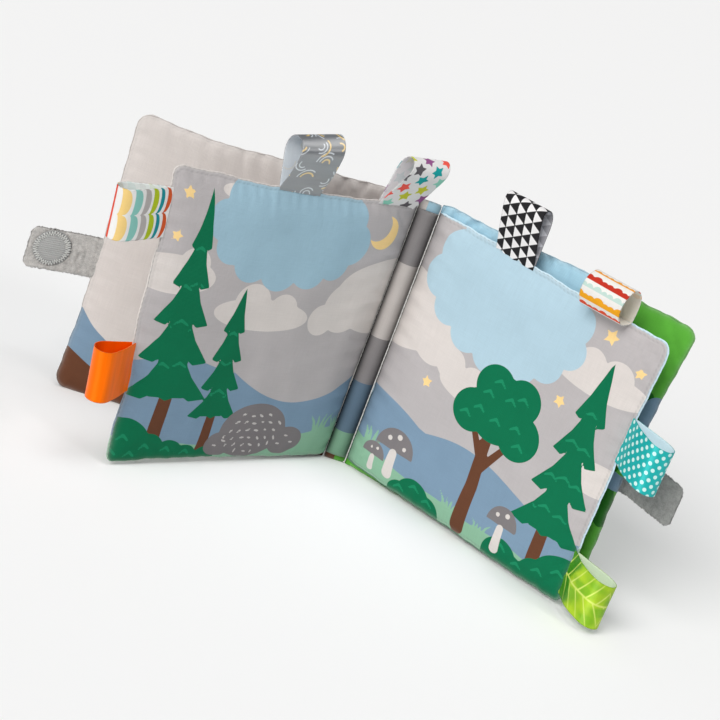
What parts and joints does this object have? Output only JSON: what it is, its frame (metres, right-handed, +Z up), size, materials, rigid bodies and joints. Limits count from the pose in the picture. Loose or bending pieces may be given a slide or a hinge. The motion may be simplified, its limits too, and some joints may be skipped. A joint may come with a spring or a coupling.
{
  "type": "soft book",
  "caption": "Baby's padded cloth book standing open at its middle spread, with ribbon loops round the pages and two felt closure tabs.",
  "frame": {"origin": "middle of the cover spine's foot, on the surface the book stands on", "axes": "+Z up the spine, -Y towards the reader and the open side, +X towards the right-hand page"},
  "size_m": [0.3617, 0.1233, 0.1838],
  "materials": {
    "page_cloth": "printed plain-weave cotton",
    "spine_cloth": "printed plain-weave cotton",
    "cover_cloth_left": "printed plain-weave cotton",
    "cover_cloth_right": "printed plain-weave cotton",
    "thread": "white sewing thread",
    "ribbon_waves": "grosgrain",
    "ribbon_orange": "satin",
    "ribbon_swirl": "satin",
    "ribbon_stars": "grosgrain",
    "ribbon_triangles": "grosgrain",
    "ribbon_scallops": "grosgrain",
    "ribbon_dots": "satin",
    "ribbon_leaf": "satin",
    "felt": "wool-like felt",
    "closure_tape": "hook-and-loop tape"
  },
  "bodies": {
    "spine": {"inner_spine": "spine_cloth", "cover_spine": "cover_cloth_left", "seam_thread_left": "thread", "seam_thread_right": "thread"},
    "left_page": {"page_left": "page_cloth", "loop_waves": "ribbon_waves", "loop_orange": "ribbon_orange", "loop_swirl": "ribbon_swirl", "loop_stars": "ribbon_stars"},
    "right_page": {"page_right": "page_cloth", "loop_triangles": "ribbon_triangles", "loop_scallops": "ribbon_scallops", "loop_dots": "ribbon_dots", "loop_leaf": "ribbon_leaf"},
    "left_cover": {"cover_left": "cover_cloth_left", "tab_left": "felt", "hook_disc": "closure_tape"},
    "right_cover": {"cover_right": "cover_cloth_right", "tab_right": "felt", "loop_disc": "closure_tape"}
  },
  "joints": [
    {"name": "left_page_hinge", "type": "hinge", "parent": "spine", "child": "left_page", "pos_m": [-0.0063, -0.00125, 0.08], "axis": [0, 0, 1], "range_deg": [-38.2, 46]},
    {"name": "right_page_hinge", "type": "hinge", "parent": "spine", "child": "right_page", "pos_m": [0.0063, -0.00125, 0.08], "axis": [0, 0, -1], "range_deg": [-38.2, 49.5]},
    {"name": "left_cover_hinge", "type": "hinge", "parent": "left_page", "child": "left_cover", "pos_m": [-0.0063, -0.00125, 0.08], "axis": [0, 0, 1], "range_deg": [-57, 14]},
    {"name": "right_cover_hinge", "type": "hinge", "parent": "right_page", "child": "right_cover", "pos_m": [0.0063, -0.00125, 0.08], "axis": [0, 0, -1], "range_deg": [-78, 3.5]}
  ]
}
